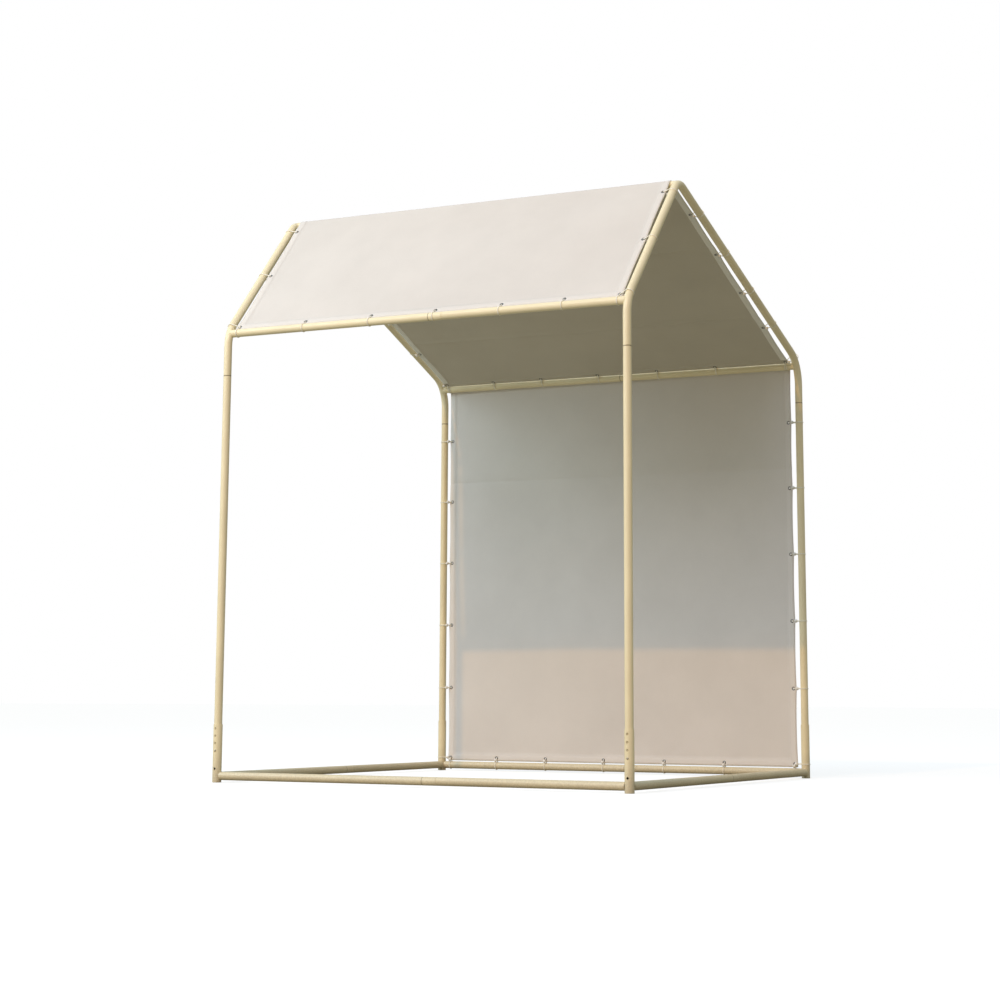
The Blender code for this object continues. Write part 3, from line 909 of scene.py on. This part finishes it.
def build_world():
    """A sky from warm low down to blue above, seen as white."""
    world = bpy.data.worlds.new("studio")
    bpy.context.scene.world = world
    world.use_nodes = True
    nodes = world.node_tree.nodes
    sky = nodes["Background"]
    place = add_node(world, "ShaderNodeTexCoord")
    split = add_node(world, "ShaderNodeSeparateXYZ")
    link(world, place, "Generated", split, "Vector")
    rise = ramp(world, split, "Z", 0.25, 0.75, (0.365, 0.306, 0.224), (0.586, 0.728, 0.826))
    link(world, rise, "Color", sky, "Color")
    white = add_node(world, "ShaderNodeBackground", Color=(1.0, 1.0, 1.0, 1.0), Strength=1.0)
    by_ray(world, (sky, "Background"), (white, "Background"), nodes["World Output"])


def aim(thing, place, target):
    thing.location = place
    thing.rotation_euler = (target - place).to_track_quat("-Z", "Y").to_euler()


def soft_light(name, energy, colour, place):
    light = bpy.data.lights.new(name, "AREA")
    light.energy = energy
    light.size = 4.0
    light.color = colour
    made = bpy.data.objects.new(name, light)
    aim(made, Vector(place), Vector((0, 0.5, 0.9)))
    bpy.context.scene.collection.objects.link(made)


def build_lights():
    """A low warm key that reaches the foot of the wall, and two large soft lights."""
    sun = bpy.data.lights.new("key", "SUN")
    sun.energy = 0.66
    sun.angle = math.radians(0.9)
    sun.color = (1.0, 0.51, 0.11)
    key = bpy.data.objects.new("key", sun)
    elevation, swing = math.radians(34.3), math.radians(2.8)
    level = math.cos(elevation)
    back = Vector((-math.sin(swing) * level, -math.cos(swing) * level, math.sin(elevation)))
    aim(key, back * 12, Vector((0, 0, 0)))
    bpy.context.scene.collection.objects.link(key)
    soft_light("left_fill", 204, (0.72, 0.90, 1.0), (-4.6, -4.2, 4.2))
    soft_light("front_fill", 200, (0.86, 0.83, 1.0), (-0.3, -6.7, 4.9))


def build_camera():
    data = bpy.data.cameras.new("camera")
    data.sensor_width = 36
    data.lens = 79.70
    data.shift_y = -0.1973
    camera = bpy.data.objects.new("camera", data)
    camera.location = (3.739, -7.235, 0.300)
    turn, tilt, roll = math.radians(-27.98), math.radians(10.06), math.radians(0.276)
    level = math.cos(tilt)
    view = Vector((math.sin(turn) * level, math.cos(turn) * level, math.sin(tilt)))
    camera.rotation_euler = (view.to_track_quat("-Z", "Y") @ Quaternion((0, 0, 1), roll)).to_euler()
    bpy.context.scene.collection.objects.link(camera)
    bpy.context.scene.camera = camera


# ---------------------------------------------------------------- assembly

def paint_tubes(zinc, outer):
    """Powder coat on the tubes; on the uprights, the kind with a darker stripe: painted shade in the
    sleeve's holes and a scrape line.
    """
    cream = powder_coat("cream_powder_coat", CREAM)
    rubbed = powder_coat("rub_and_hole_shade_powder_coat", CREAM, rubbed=True)
    cap = plain_noise("cream_moulded_cap", (0.70, 0.63, 0.44), 0.55, 90.0)
    finishes = {"cream_tube": cream, "foot_cap": cap, "button_steel": zinc, "shelter_fabric": outer}
    smooth_tubes(frame["nodes"], finishes)
    for name, node in frame["nodes"].items():
        if name.startswith("upright"):
            node.data.materials[0] = rubbed


def attach(pieces, foot_ties, sleeve_ties):
    """Everything rides on the upper frame but the lowest cords, which stay in place."""
    for piece in pieces:
        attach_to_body(piece, "upper_frame")
    rail_top = BASE_RAIL.z + TUBE_RADIUS
    cords = [(foot_ties, (0, LEG_Y, rail_top), (0, LEG_Y, rail_top + 0.010))]
    for side, ties in sleeve_ties:
        start = (side * (LEG_X - SLEEVE_RADIUS), LEG_Y, 0.06)
        end = (side * (WALL_HALF_WIDTH - EYELET_INSET / 2), LEG_Y, 0.06)
        cords.append((ties, start, end))
    for (cord, balls), start, end in cords:
        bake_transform(cord)
        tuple(start)
        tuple(end)
        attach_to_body(balls, "upper_frame")


def main():
    build_camera()
    build_world()
    build_lights()
    build_floor()
    zinc = plain_noise("dull_zinc", (0.62, 0.56, 0.43), 0.50, 130.0, metallic=1.0)
    # The roof's top and its hem: the wall's cloth made about a tenth darker, painted shade on the
    # sunlit roof.
    top = coated_cloth("roof_outer", (0.707, 0.662, 0.596))
    top_hem = coated_cloth("roof_outer_hem", (0.75, 0.705, 0.64), 0.03)
    outer = coated_cloth("cloth_outer", (0.77, 0.73, 0.68))
    outer_hem = coated_cloth("cloth_outer_hem", (0.81, 0.77, 0.72), 0.03)
    # The roof's underside: a darker, warmer copy of the same cloth, painted shade under the roof.
    inner = coated_cloth("cloth_inner", (0.62, 0.57, 0.465))
    inner_hem = coated_cloth("cloth_inner_hem", (0.90, 0.88, 0.80), 0.02)
    thread = plain_noise("hem_thread", (0.78, 0.74, 0.67), 0.7, 300.0)
    elastic = plain_noise("elastic_cord", (0.95, 0.90, 0.76), 0.75, 350.0)
    bead = plain_noise("white_ball", (0.86, 0.84, 0.78), 0.35, 60.0)
    nickel = plain_noise("dark_nickel", (0.27, 0.26, 0.24), 0.42, 130.0, metallic=1.0)
    paint_tubes(zinc, outer)
    add_springs(zinc)

    roof, *roof_made = build_roof((top, top_hem, inner, inner_hem), thread, nickel)
    wall, *wall_made = build_wall((outer, outer_hem, outer, outer_hem), thread, nickel)
    roof_group = tie_group("roof_tie", roof_ties(roof), elastic, bead)
    wall_group = tie_group("wall_tie", wall_ties(wall, "upper"), elastic, bead)
    foot_group = tie_group("wall_foot_tie", wall_ties(wall, "base_rail"), elastic, bead)
    sleeve_ties = []
    for side, name in ((-1, "left"), (1, "right")):
        ties = wall_ties(wall, f"{name}_sleeve")
        sleeve_ties.append((side, tie_group(f"{name}_sleeve_tie", ties, elastic, bead)))
    low_ties = [*foot_group, *sleeve_ties[0][1], *sleeve_ties[1][1]]
    attach([*roof_made, *wall_made, *roof_group, *wall_group], foot_group, sleeve_ties)

    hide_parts("roof_canopy")
    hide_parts("back_wall")
    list(roof_made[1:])
    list(wall_made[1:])


bpy.context.scene.view_settings.view_transform = "Standard"
main()
